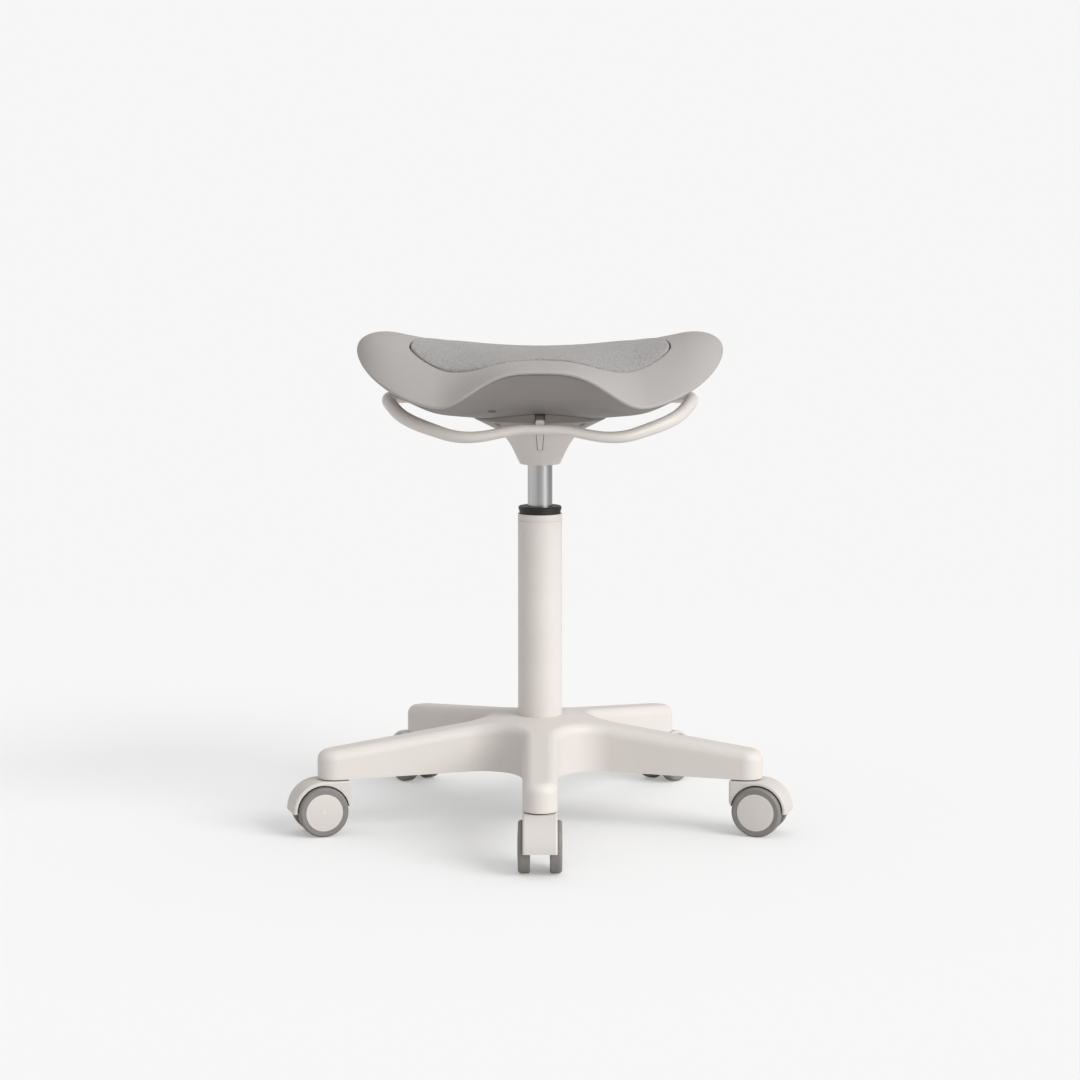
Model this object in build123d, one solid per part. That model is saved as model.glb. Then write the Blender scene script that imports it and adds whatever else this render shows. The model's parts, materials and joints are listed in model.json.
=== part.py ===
from build123d import *
import os
from math import cos, pi, radians, sin, sqrt, tan

# Saddle stool on a five-star castor base, millimetres, +Z up.
# The origin is on the floor, on the column's axis. The front of the seat faces -Y.

# Running and seating clearances
RUN_FIT = 0.05
SEAT_FIT = 0.3
BOLT_FIT = 0.15
HOLE_OVER = 1.0

# Castors: twin wheels under a hood, swivelling on a stem
LEG_NAMES = ("front", "right", "rear_right", "rear_left", "left")
FRONT_ANGLE = -90.0
STEM_CIRCLE = 242.0
STEM_RADIUS = 5.0
STEM_SOCKET_DEPTH = 26.0
STEM_HOOD_DEPTH = 24.0
STEM_COLLAR_RADIUS = 8.5
GRIP_RING_WALL = 0.9
GRIP_RING_HEIGHT = 10.0
GRIP_RING_SLIT = 2.0
CASTER_TRAIL = 17.0
WHEEL_RADIUS = 28.0
WHEEL_INNER_FACE = 10.5
WHEEL_WIDTH = 12.0
WHEEL_DOME = 1.8
TREAD_DEPTH = 6.8
TREAD_ROUND = 2.4
CORE_BORE_FLOOR = 3.0
AXLE_RADIUS = 4.0
WHEEL_GAP = 1.9
HOOD_WALL = 3.8
HOOD_HALF_WIDTH = 18.4
HOOD_REAR_REACH = 15.0
HOOD_ROUND = 2.5
HOOD_LIP_RISE = 1.0
WEB_HALF_WIDTH = 9.6
WEB_AXLE_WALL = 4.0

# Five-star base
LEG_GAP = 1.5
LEG_TIP_RADIUS = 18.6
LEG_ROOT_HALF_WIDTH = 20.6
LEG_TIP_HEIGHT = 32.5
LEG_ROUND = 11.0
LEG_WALL = 4.5
LEG_ROOF = 6.0
LEG_RIB = 3.5
LEG_BLEND = 45.0
STEM_BOSS_RADIUS = 10.5
HUB_HEIGHT = 57.5
HUB_BOSS_RADIUS = 32.0
HUB_DROP = 5.0

# Column and its guide bush
COLUMN_RADIUS = 25.0
COLUMN_WALL = 2.0
COLUMN_TAPER = 0.8
COLUMN_FOOT_DROP = 8.0
COLUMN_FLOOR = 3.0
COLUMN_ROD_GAP = 0.5
COLUMN_RISE = 231.0
COLUMN_GROOVE_DROP = 7.0
COLUMN_GROOVE = 0.5
BUSH_LENGTH = 62.0
BUSH_COLLAR_RADIUS = 24.4
BUSH_COLLAR_HEIGHT = 4.6
BUSH_STEP = 0.9
BUSH_CAP_HEIGHT = 3.9

# Gas lift
CYLINDER_RADIUS = 14.0
CYLINDER_WALL = 1.8
CYLINDER_EXPOSED = 47.8
CYLINDER_BELOW_BUSH = 211.0
CYLINDER_TAPER = 0.5
GLAND_HEIGHT = 15.0
VALVE_PLUG_HEIGHT = 18.0
LIFT_UP = 100.0
ROD_RADIUS = 5.0
ROD_COLLAR_RADIUS = 9.0
ROD_COLLAR_HEIGHT = 4.0
ROD_TAIL = 7.0
PISTON_HEIGHT = 12.0
PISTON_MARGIN = 3.0
BUMP_RADIUS = 12.0
BUMP_HEIGHT = 26.0
BUMP_WAIST = 2.0
BEARING_RADIUS = 14.0
WASHER_HEIGHT = 1.5
BALL_RADIUS = 1.6
BALL_CIRCLE = 10.5
BALL_COUNT = 10
CLIP_RADIUS = 9.0
CLIP_HEIGHT = 2.5
BUTTON_RADIUS = 3.5
BUTTON_STAND = 7.0
BUTTON_DEPTH = 10.0
BUTTON_TRAVEL_ROOM = 4.0
BUTTON_ROUND = 2.1

# Bell housing round the taper socket: radius and height above its foot
BELL_FOOT = 22.6
BELL_WAIST = (30.2, 16.0)
BELL_FLARE = (38.5, 29.2)
BELL_SHOULDER = (50.1, 40.0)
BELL_RIM = (74.0, 51.8)
BELL_WALL = 3.0
BELL_MOUTH_GAP = 1.0
BELL_RIM_LAP = 2.3
BELL_FOOT_ROUND = 2.0
BELL_FLANGE_WIDTH = 17.0
BELL_SCREW_CIRCLE = 66.0
BELL_SCREW_RADIUS = 2.0
BELL_SCREW_LENGTH = 14.0
BELL_SCREW_HEAD = 3.6
BELL_SCREW_SINK = 2.5

# Taper socket and mounting plate under the seat
SOCKET_WALL = 4.0
SOCKET_LIFT = 6.0
SOCKET_GRIP = 44.0
PLATE_RADIUS = 54.0
PLATE_HEIGHT = 3.0
PLATE_ABOVE_CYLINDER = 19.0
BOLT_CIRCLE = 42.0
BOLT_COUNT = 4
BOLT_START = 45.0
BOLT_RADIUS = 3.0
BOLT_LENGTH = 13.0
BOLT_HEAD_RADIUS = 5.5
BOLT_HEAD_HEIGHT = 3.0
BOLT_SOCKET = 2.0
PILLAR_WALL = 1.0

# Release lever: a closed ring round the bell, on an arm with a pivot pin
PIVOT_FORWARD = 28.0
PIVOT_DROP = 8.0
PIN_RADIUS = 2.5
EAR_WALL = 3.0
EAR_HALF_LENGTH = 6.0
EAR_GAP = 0.5
ARM_HALF_WIDTH = 5.0
ARM_FOOT_HALF_WIDTH = 2.4
ARM_SLOT_GAP = 0.5
ARM_FOOT_GAP = 0.4
ARM_TIP_REACH = 5.0
ARM_HEIGHT = 10.0
ARM_RISE = 9.6
ARM_BROW = (60.0, 6.4)
ARM_STUB = 4.0
ARM_FOOT_RISE = 18.3
ARM_NUB = 2.0
ARM_PROUD = 1.0
ARM_SOCKET_GAP = 4.0
ARM_FOOT_STEP = 2.0
ARM_NOTCH_ROOF = 2.0
ARM_NOTCH_REACH = 2.0
ARM_ROUND = 2.5
RING_FRONT = 100.0
RING_HALF_WIDTH = 171.0
RING_SIDE = (-18.0, 55.0)
RING_SHOULDER = (150.0, -64.0)
RING_REAR = 112.0
RING_REAR_HALF_WIDTH = 120.0
RING_DIP_X = 85.0
RING_DIP_HEIGHT = 35.0
RING_LEVEL_X = 24.0
RING_FRONT_RISE = 12.0
RING_SHOULDER_RISE = 20.0
RING_SIDE_RISE = 37.0
RING_REAR_RISE = 34.0
RING_HALF_RADIAL = 7.5
RING_HALF_VERTICAL = 5.4
RING_SWELL_LENGTH = 120.0
RING_BOW_SHARE = 0.45
RING_SECTIONS = 24

# Seat: a saddle surface over the plan outline, crest line across at CREST_Y
SEAT_HALF_WIDTH = 207.4
SEAT_FRONT_REACH = 185.0
SEAT_REAR_REACH = 115.0
CREST_Y = 30.0
OUTLINE_POWER = 2.4
SEAT_DEPTH = 78.7
WING_RISE = 28.6
WING_POWER = 2.0
TIP_DROP = 28.2
TIP_START = 160.0
LIP_DROP = 13.6
ARCH_HEIGHT = 40.75
ARCH_HALF_WIDTH = 112.9
ARCH_POWER = 1.52
WING_LIP_OUT_POWER = 1.51
WING_LIP_UP_POWER = 0.653
REAR_DROP = 12.0
SHELL_THICKNESS = 16.0
LIP_THICKNESS = 4.5
LIP_UNDERCUT = 3.0
LIP_BULGE = 0.9
STATIONS = (0.0, 0.15, 0.3, 0.44, 0.56, 0.68, 0.79, 0.88, 0.945, 0.98, 0.997)

# Knit pad in its recess
PAD_HALF_WIDTH = 144.5
PAD_WIDEST_Y = -24.0
PAD_FRONT = 94.0
PAD_REAR = 102.0
PAD_FRONT_POWER = 1.62
PAD_FRONT_BLUNT = 0.612
PAD_REAR_POWER = 2.1
PAD_DENT = 27.0
PAD_DENT_HALF_WIDTH = 70.0
PAD_THICKNESS = 8.0
PAD_CROWN = 2.2
PAD_ROUND = 3.0
PAD_GROOVE = 0.9
PAD_ARCS = 24
PAD_STATIONS = (0.0, 0.2, 0.38, 0.54, 0.68, 0.8, 0.9, 1.0)

# Underside pan
PAN_HALF_WIDTH = 165.0
PAN_RISE = 45.0
PAN_POWER = 2.5
PAN_LIP_INSET = 4.0
PAN_WALL = 3.5
PAN_EDGE = 1.0
PAN_BOSS_RADIUS = 78.0
PAN_FLOOR = 4.0
PAN_RIB = 3.0
PAN_HOLE = (-53.0, -86.0)
PAN_HOLE_RADIUS = 4.8
PAN_STATIONS = (0.0, 0.2, 0.38, 0.54, 0.68, 0.8, 0.9, 0.97)

# Heights that follow from the sizes above
AXLE_Z = WHEEL_RADIUS
HOOD_TOP = AXLE_Z + WHEEL_RADIUS + WHEEL_GAP + HOOD_WALL
LEG_BOTTOM = HOOD_TOP + LEG_GAP
HUB_TOP = LEG_BOTTOM + HUB_HEIGHT
HUB_BOTTOM = LEG_BOTTOM - HUB_DROP
COLUMN_FOOT = HUB_BOTTOM - COLUMN_FOOT_DROP
COLUMN_TOP = HUB_TOP + COLUMN_RISE
COLUMN_BORE = COLUMN_RADIUS - COLUMN_WALL
BUSH_TOP = COLUMN_TOP + BUSH_COLLAR_HEIGHT + BUSH_CAP_HEIGHT
BELL_Z = BUSH_TOP + CYLINDER_EXPOSED
SOCKET_Z = BELL_Z + SOCKET_LIFT
CYLINDER_TOP = SOCKET_Z + SOCKET_GRIP
CYLINDER_BOTTOM = BUSH_TOP - CYLINDER_BELOW_BUSH
BEARING_Z = COLUMN_FOOT + COLUMN_FLOOR
COLLAR_Z = BEARING_Z + 2 * WASHER_HEIGHT + 2 * BALL_RADIUS
PISTON_Z = CYLINDER_BOTTOM + GLAND_HEIGHT + LIFT_UP + PISTON_MARGIN
BUTTON_TOP = CYLINDER_TOP + BUTTON_STAND
PLATE_Z = CYLINDER_TOP + PLATE_ABOVE_CYLINDER
PAN_BOTTOM = BELL_Z + BELL_RIM[1] - BELL_RIM_LAP
SEAT_Z = PAN_BOTTOM + SEAT_DEPTH
WING_LIP_RISE = WING_RISE - TIP_DROP + LIP_DROP + ARCH_HEIGHT
POCKET_RADIUS = BELL_RIM[0] - BELL_FLANGE_WIDTH
POCKET_TOP = PLATE_Z + PLATE_HEIGHT
PIVOT_Z = PLATE_Z - PIVOT_DROP
ARM_FOOT_Z = BELL_Z + ARM_FOOT_RISE
RING_DIP_Z = BELL_Z + RING_DIP_HEIGHT
RING_FRONT_Z = RING_DIP_Z + RING_FRONT_RISE
RING_SHOULDER_Z = RING_DIP_Z + RING_SHOULDER_RISE
RING_SIDE_Z = RING_DIP_Z + RING_SIDE_RISE
RING_REAR_Z = RING_DIP_Z + RING_REAR_RISE
LEG_ANGLES = [FRONT_ANGLE + 360 / len(LEG_NAMES) * i for i in range(len(LEG_NAMES))]
EAR_INNER = ARM_HALF_WIDTH + EAR_GAP
EAR_OUTER = EAR_INNER + EAR_WALL
WHEEL_FACE = WHEEL_INNER_FACE + WHEEL_WIDTH
BASE_ALIGN = (Align.CENTER, Align.CENTER, Align.MIN)
FAR = 400.0
TOUCH = 0.01


def rod(radius, low, high, x=0.0, y=0.0):
    """A plain upright cylinder between two heights."""
    return Pos(x, y, low) * Cylinder(radius, high - low, align=BASE_ALIGN)


def tube(outer, inner, low, high):
    """An upright tube between two heights."""
    return rod(outer, low, high) - rod(inner, low, high)


def turned(points):
    """A solid of revolution about Z from a closed (radius, height) outline."""
    return revolve(make_face(Polyline([(r, 0, z) for r, z in points], close=True)), Axis.Z)


def block(x, y, z):
    """A box from three (low, high) pairs."""
    size = [high - low for low, high in (x, y, z)]
    return Pos(x[0], y[0], z[0]) * Box(*size, align=(Align.MIN,) * 3)


def around(shape, count, start=0.0):
    """Copies of a shape spaced evenly about the Z axis."""
    return [Rot(0, 0, start + 360 / count * i) * shape for i in range(count)]


def at_bolts(shape):
    """Copies at the places of the plate bolts and the bell screws."""
    return around(shape, BOLT_COUNT, BOLT_START)


def at_leg(shape, angle):
    """Puts a castor modelled about its own stem, outward along +X, under a leg."""
    return Rot(0, 0, angle) * Pos(STEM_CIRCLE, 0, 0) * shape


def save(name, *solids):
    shape = solids[0] if len(solids) == 1 else Compound(children=list(solids))
    export_step(shape, f"parts/{name}.step")


# Five-star base

def star_outline(inset=0.0):
    """Plan of the five legs with round tips and wide blends between them."""
    root, tip = LEG_ROOT_HALF_WIDTH - inset, LEG_TIP_RADIUS - inset
    corners = [(0, -root), (STEM_CIRCLE, -tip), (STEM_CIRCLE, tip), (0, root)]
    leg = make_face(Polyline(corners, close=True))
    leg = leg + Pos(STEM_CIRCLE, 0) * Circle(tip)
    plan = Sketch() + around(leg, len(LEG_NAMES), FRONT_ANGLE)
    inner = [v for v in plan.vertices() if Vector(v.X, v.Y).length < 2 * root]
    return fillet(inner, LEG_BLEND + inset)


def under_slope(bottom, drop):
    """Everything between a level and the sloping top of the legs, lowered by drop."""
    slope = (HUB_HEIGHT - LEG_TIP_HEIGHT) / (STEM_CIRCLE - HUB_BOSS_RADIUS)
    reach = STEM_CIRCLE + 2 * LEG_TIP_RADIUS
    edge = HUB_TOP - slope * (reach - HUB_BOSS_RADIUS)
    return turned([(0, bottom), (reach, bottom), (reach, edge - drop),
                   (HUB_BOSS_RADIUS, HUB_TOP - drop), (0, HUB_TOP - drop)])


def star_base():
    body = extrude(Pos(0, 0, LEG_BOTTOM) * star_outline(), HUB_HEIGHT + LEG_ROUND)
    body = body & under_slope(LEG_BOTTOM, 0)
    upper = [e for e in body.edges() if e.center().Z > LEG_BOTTOM + LEG_TIP_HEIGHT / 2]
    upper = [e for e in upper if abs(e.start_point().Z - e.end_point().Z) < HUB_HEIGHT / 2]
    rim = [e for e in upper if Vector(e.center().X, e.center().Y).length > HUB_BOSS_RADIUS]
    body = fillet(rim, LEG_ROUND)
    hollow = extrude(Pos(0, 0, LEG_BOTTOM) * star_outline(LEG_WALL), HUB_HEIGHT)
    hollow = hollow & under_slope(LEG_BOTTOM, LEG_ROOF)
    rib = block((0, STEM_CIRCLE), (-LEG_RIB / 2, LEG_RIB / 2), (LEG_BOTTOM, HUB_TOP))
    boss = rod(STEM_BOSS_RADIUS, LEG_BOTTOM, HUB_TOP, STEM_CIRCLE)
    keep = [rod(HUB_BOSS_RADIUS, LEG_BOTTOM, HUB_TOP)] + around(rib + boss, len(LEG_NAMES), FRONT_ANGLE)
    for piece in keep:
        hollow = hollow - piece
    body = body - hollow + rod(HUB_BOSS_RADIUS, HUB_BOTTOM, LEG_BOTTOM)
    bore_top = LEG_BOTTOM + STEM_SOCKET_DEPTH + HOLE_OVER
    stem_bore = rod(STEM_RADIUS + GRIP_RING_WALL / 2, LEG_BOTTOM, bore_top, STEM_CIRCLE)
    for bore in around(stem_bore, len(LEG_NAMES), FRONT_ANGLE):
        body = body - bore
    return body - column_taper(RUN_FIT)


# Column, bush and gas lift

def column_taper(grow=0.0):
    """The tapered foot of the column, from its lower end to the top of the hub."""
    top, foot = COLUMN_RADIUS + grow, COLUMN_RADIUS - COLUMN_TAPER + grow
    return turned([(0, COLUMN_FOOT), (foot, COLUMN_FOOT), (top, HUB_TOP), (0, HUB_TOP)])


def column_tube():
    groove_z = COLUMN_TOP - COLUMN_GROOVE_DROP
    body = column_taper() + rod(COLUMN_RADIUS, HUB_TOP, COLUMN_TOP)
    body = body - rod(COLUMN_BORE, BEARING_Z, COLUMN_TOP)
    body = body - rod(ROD_RADIUS + COLUMN_ROD_GAP, COLUMN_FOOT, BEARING_Z)
    groove = tube(COLUMN_RADIUS, COLUMN_RADIUS - COLUMN_GROOVE, groove_z - COLUMN_GROOVE, groove_z)
    return body - groove


def guide_bush():
    cap = COLUMN_TOP + BUSH_COLLAR_HEIGHT
    inner = CYLINDER_RADIUS + RUN_FIT
    sleeve = COLUMN_BORE - RUN_FIT
    waist = BUSH_COLLAR_RADIUS - BUSH_STEP
    foot = COLUMN_TOP - BUSH_LENGTH
    return turned([(inner, foot), (sleeve, foot), (sleeve, COLUMN_TOP),
                   (waist, COLUMN_TOP), (waist, cap), (BUSH_COLLAR_RADIUS, cap),
                   (BUSH_COLLAR_RADIUS, BUSH_TOP - BUSH_STEP), (waist, BUSH_TOP), (inner, BUSH_TOP)])


def gas_cylinder():
    bore = CYLINDER_RADIUS - CYLINDER_WALL
    plug = CYLINDER_TOP - VALVE_PLUG_HEIGHT
    body = turned([(0, CYLINDER_BOTTOM), (CYLINDER_RADIUS, CYLINDER_BOTTOM), (CYLINDER_RADIUS, SOCKET_Z),
                   (CYLINDER_RADIUS - CYLINDER_TAPER, CYLINDER_TOP), (0, CYLINDER_TOP)])
    body = body - rod(bore, CYLINDER_BOTTOM + GLAND_HEIGHT, plug)
    body = body - rod(ROD_RADIUS + RUN_FIT, CYLINDER_BOTTOM, CYLINDER_BOTTOM + GLAND_HEIGHT)
    button_floor = CYLINDER_TOP - BUTTON_DEPTH - BUTTON_TRAVEL_ROOM
    return body - rod(BUTTON_RADIUS + RUN_FIT, button_floor, CYLINDER_TOP)


def piston_rod():
    body = rod(ROD_RADIUS, COLUMN_FOOT - ROD_TAIL, PISTON_Z + PISTON_HEIGHT)
    return body + rod(ROD_COLLAR_RADIUS, COLLAR_Z, COLLAR_Z + ROD_COLLAR_HEIGHT)


def piston_head():
    outer = CYLINDER_RADIUS - CYLINDER_WALL - RUN_FIT
    return tube(outer, ROD_RADIUS + RUN_FIT, PISTON_Z, PISTON_Z + PISTON_HEIGHT)


def bump_stop():
    low = COLLAR_Z + ROD_COLLAR_HEIGHT + SEAT_FIT
    bore, waist = ROD_RADIUS + SEAT_FIT, BUMP_RADIUS - BUMP_WAIST
    return turned([(bore, low), (BUMP_RADIUS, low), (BUMP_RADIUS, low + BUMP_HEIGHT / 3),
                   (waist, low + BUMP_HEIGHT / 2), (BUMP_RADIUS, low + BUMP_HEIGHT * 2 / 3),
                   (waist, low + BUMP_HEIGHT), (bore, low + BUMP_HEIGHT)])


def washer(low):
    return tube(BEARING_RADIUS, ROD_RADIUS + RUN_FIT, low, low + WASHER_HEIGHT)


def thrust_bearing():
    """Lower washer and the caged balls on it."""
    ball_z = BEARING_Z + WASHER_HEIGHT + BALL_RADIUS
    cage_top = ball_z + BALL_RADIUS / 2
    cage = tube(BEARING_RADIUS, BALL_CIRCLE - 2 * BALL_RADIUS, ball_z - BALL_RADIUS, cage_top)
    pocket = rod(BALL_RADIUS + RUN_FIT, BEARING_Z, PISTON_Z, BALL_CIRCLE)
    for hole in around(pocket, BALL_COUNT):
        cage = cage - hole
    balls = around(Pos(BALL_CIRCLE, 0, ball_z) * Sphere(BALL_RADIUS), BALL_COUNT)
    return [washer(BEARING_Z), cage] + balls


def rod_clip():
    """Spring clip under the column's floor, open on one side."""
    low = COLUMN_FOOT - RUN_FIT - CLIP_HEIGHT
    ring = tube(CLIP_RADIUS, ROD_RADIUS + RUN_FIT, low, low + CLIP_HEIGHT)
    return ring - block((0, CLIP_RADIUS), (-ROD_RADIUS / 2, ROD_RADIUS / 2), (low, low + CLIP_HEIGHT))


def release_button():
    body = rod(BUTTON_RADIUS, CYLINDER_TOP - BUTTON_DEPTH, BUTTON_TOP)
    return fillet(body.faces().sort_by(Axis.Z)[-1].edges(), BUTTON_ROUND)


# Taper socket, plate and bell

def taper_socket():
    outer = CYLINDER_RADIUS + SOCKET_WALL
    bore = gas_cylinder_envelope(RUN_FIT)
    body = rod(outer, SOCKET_Z, PLATE_Z) - bore - rod(CYLINDER_RADIUS, CYLINDER_TOP, PLATE_Z)
    window = ARM_HALF_WIDTH + ARM_SLOT_GAP
    return body - block((-window, window), (-FAR, 0), (CYLINDER_TOP + ARM_NUB, PLATE_Z))


def gas_cylinder_envelope(grow):
    """Outside of the cylinder's tapered top."""
    top = CYLINDER_RADIUS - CYLINDER_TAPER + grow
    return turned([(0, SOCKET_Z), (CYLINDER_RADIUS + grow, SOCKET_Z), (top, CYLINDER_TOP),
                   (0, CYLINDER_TOP)])


def pin_along_x(radius, half_length):
    return Pos(0, -PIVOT_FORWARD, PIVOT_Z) * Rot(0, 90, 0) * Cylinder(radius, 2 * half_length)


def mount_plate():
    """Round steel plate with two ears for the lever pin and four bolt holes."""
    body = rod(PLATE_RADIUS, PLATE_Z, PLATE_Z + PLATE_HEIGHT)
    along = (-PIVOT_FORWARD - EAR_HALF_LENGTH, -PIVOT_FORWARD + EAR_HALF_LENGTH)
    down = (PIVOT_Z - 2 * PIN_RADIUS, PLATE_Z)
    for side in ((EAR_INNER, EAR_OUTER), (-EAR_OUTER, -EAR_INNER)):
        body = body + block(side, along, down)
    body = body - pin_along_x(PIN_RADIUS + RUN_FIT, EAR_OUTER)
    for hole in at_bolts(rod(BOLT_RADIUS + BOLT_FIT, PLATE_Z, POCKET_TOP, BOLT_CIRCLE)):
        body = body - hole
    return body


def plate_bolt():
    head = rod(BOLT_HEAD_RADIUS, PLATE_Z - BOLT_HEAD_HEIGHT, PLATE_Z, BOLT_CIRCLE)
    head = fillet(head.faces().sort_by(Axis.Z)[0].edges(), BOLT_HEAD_HEIGHT / 2)
    shank = rod(BOLT_RADIUS, PLATE_Z, PLATE_Z + BOLT_LENGTH, BOLT_CIRCLE)
    hexagon = Pos(BOLT_CIRCLE, 0, PLATE_Z - BOLT_HEAD_HEIGHT) * RegularPolygon(BOLT_SOCKET, 6)
    drive = extrude(hexagon, BOLT_SOCKET)
    return head + shank - drive


def bell_outline(shift):
    """Trumpet outline from the foot to the rim, moved in and up by shift, closed on the axis."""
    def point(place):
        return (place[0] - shift, 0, BELL_Z + place[1] + shift)
    foot, waist, flare = point((BELL_FOOT, 0)), point(BELL_WAIST), point(BELL_FLARE)
    shoulder, rim = point(BELL_SHOULDER), point(BELL_RIM)
    close = [(rim[0], 0, POCKET_TOP), (0, 0, POCKET_TOP), (0, 0, foot[2])]
    edges = [Line(foot, waist), ThreePointArc(waist, flare, shoulder), Line(shoulder, rim),
             Polyline(rim, *close, foot)]
    return revolve(make_face(edges), Axis.Z)


def arm_window(grow):
    """Front slot for the lever arm, narrower at its foot, as a prism along Y."""
    top, foot = ARM_HALF_WIDTH + grow, ARM_FOOT_HALF_WIDTH + grow
    low, high = ARM_FOOT_Z - min(grow, ARM_FOOT_GAP), RING_FRONT_Z
    face = make_face(Polyline((-foot, 0, low), (foot, 0, low), (top, 0, high), (top, 0, POCKET_TOP),
                              (-top, 0, POCKET_TOP), (-top, 0, high), close=True))
    return extrude(face, FAR / 2, dir=(0, -1, 0))


def screw_head_z():
    """Height of the screw heads' seat in the flange."""
    run = (BELL_RIM[1] - BELL_SHOULDER[1]) / (BELL_RIM[0] - BELL_SHOULDER[0])
    return BELL_Z + BELL_SHOULDER[1] + run * (BELL_SCREW_CIRCLE - BELL_SHOULDER[0]) + BELL_SCREW_SINK


def bell_housing(pan_outer):
    body = bell_outline(0)
    body = fillet(body.edges().filter_by(GeomType.CIRCLE).sort_by(Axis.Z)[0], BELL_FOOT_ROUND)
    inside = bell_outline(BELL_WALL / sqrt(2)) & rod(POCKET_RADIUS, BELL_Z, SEAT_Z)
    body = body - inside - rod(CYLINDER_RADIUS + BELL_MOUTH_GAP, BELL_Z, SOCKET_Z)
    body = body - Pos(0, 0, -SEAT_FIT) * pan_outer - arm_window(ARM_SLOT_GAP)
    seat_z = screw_head_z()
    hole = rod(BELL_SCREW_RADIUS + BOLT_FIT, BELL_Z, SEAT_Z, BELL_SCREW_CIRCLE)
    hole = hole + rod(BELL_SCREW_HEAD + BOLT_FIT, BELL_Z, seat_z, BELL_SCREW_CIRCLE)
    for cut in at_bolts(hole):
        body = body - cut
    return body


def bell_screw():
    seat_z = screw_head_z()
    head = rod(BELL_SCREW_HEAD, seat_z - BELL_SCREW_SINK, seat_z, BELL_SCREW_CIRCLE)
    return head + rod(BELL_SCREW_RADIUS, seat_z, seat_z + BELL_SCREW_LENGTH, BELL_SCREW_CIRCLE)


# Release ring and arm

def ring_corner_radius(before, corner, after):
    """Radius of the arc at a corner whose tangents take up a share of the shorter run."""
    first, second = Vector(corner) - Vector(before), Vector(after) - Vector(corner)
    half_turn = radians(first.get_angle(second)) / 2
    return RING_BOW_SHARE * min(first.length, second.length) / tan(half_turn)


def ring_path():
    """Right half of the ring's line: level in front, low at the dip, high at the side and the rear."""
    corners = [(0, -RING_FRONT, RING_FRONT_Z), (RING_LEVEL_X, -RING_FRONT, RING_FRONT_Z),
               (RING_DIP_X, -RING_FRONT, RING_DIP_Z), (*RING_SHOULDER, RING_SHOULDER_Z),
               (RING_HALF_WIDTH, RING_SIDE[0], RING_SIDE_Z), (RING_HALF_WIDTH, RING_SIDE[1], RING_SIDE_Z),
               (RING_REAR_HALF_WIDTH, RING_REAR, RING_REAR_Z), (0, RING_REAR, RING_REAR_Z)]
    radii = [ring_corner_radius(*corners[i - 1:i + 2]) for i in range(1, len(corners) - 1)]
    return FilletPolyline(*corners, radius=radii)


def ring_section(path, along):
    """Slice of the ring square to its line: flat in the middle of the front, round further on."""
    swell = (path.length * along - RING_LEVEL_X) / RING_SWELL_LENGTH
    spare = RING_HALF_RADIAL - RING_HALF_VERTICAL
    vertical = RING_HALF_VERTICAL + spare * min(max(swell, 0), 1)
    way = path % along
    plane = Plane(origin=path @ along, x_dir=way.cross(Vector(0, 0, 1)), z_dir=way)
    return plane * Ellipse(RING_HALF_RADIAL, vertical)


def release_ring():
    """The lofted right half and its mirror image, closed into one loop."""
    path = ring_path()
    half = loft([ring_section(path, i / RING_SECTIONS) for i in range(RING_SECTIONS + 1)])
    return half + mirror(half, Plane.YZ)


def release_arm():
    """Gusset that holds the ring, runs through the bell's slot and presses the valve button."""
    under, over = PIVOT_Z - ARM_HEIGHT / 2, PIVOT_Z + ARM_HEIGHT / 2
    nub_z = BUTTON_TOP + SEAT_FIT / 2 + ARM_NUB
    behind = -CYLINDER_RADIUS - SOCKET_WALL - ARM_SOCKET_GAP
    ring_y = -RING_FRONT + RING_HALF_RADIAL / 2
    ring_low, ring_high = RING_FRONT_Z - RING_HALF_VERTICAL - ARM_PROUD, RING_FRONT_Z + ARM_RISE
    side = [(ring_y, ring_low), (-BELL_SHOULDER[0] - ARM_PROUD, BELL_Z + BELL_SHOULDER[1]),
            (-BELL_FLARE[0] - ARM_PROUD, BELL_Z + BELL_FLARE[1]),
            (-BELL_WAIST[0] - ARM_PROUD - ARM_FOOT_STEP, ARM_FOOT_Z), (behind - ARM_FOOT_STEP, ARM_FOOT_Z),
            (behind, under), (behind + ARM_SOCKET_GAP, nub_z), (ARM_TIP_REACH, nub_z),
            (ARM_TIP_REACH, over), (-PIVOT_FORWARD - ARM_HEIGHT, over),
            (-ARM_BROW[0], ring_high + ARM_BROW[1]), (-BELL_RIM[0] + ARM_STUB, ring_high),
            (ring_y, ring_high)]
    face = make_face(Polyline([(0, y, z) for y, z in side], close=True))
    body = extrude(face, ARM_HALF_WIDTH, dir=(1, 0, 0), both=True)
    stub = [e for e in body.edges().filter_by(Axis.Y) if abs(e.center().Z - ring_high) < TOUCH]
    body = fillet(stub, ARM_ROUND)
    body = body & (Pos(0, ARM_TIP_REACH, 0) * arm_window(0))
    nub = Pos(0, 0, nub_z) * Rot(0, 90, 0) * Cylinder(ARM_NUB, 2 * ARM_HALF_WIDTH)
    bed = Ellipse(RING_HALF_VERTICAL + SEAT_FIT, RING_HALF_RADIAL + SEAT_FIT)
    cradle = Pos(0, -RING_FRONT, RING_FRONT_Z) * Rot(0, 90, 0) * extrude(bed, 2 * ARM_HALF_WIDTH, both=True)
    return body + nub - cradle - pin_along_x(PIN_RADIUS + RUN_FIT, EAR_OUTER)


# Seat surface

def share(x):
    """How much of its middle depth the plan outline has at x."""
    return (1 - min(abs(x) / SEAT_HALF_WIDTH, 1) ** OUTLINE_POWER) ** (1 / OUTLINE_POWER)


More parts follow.
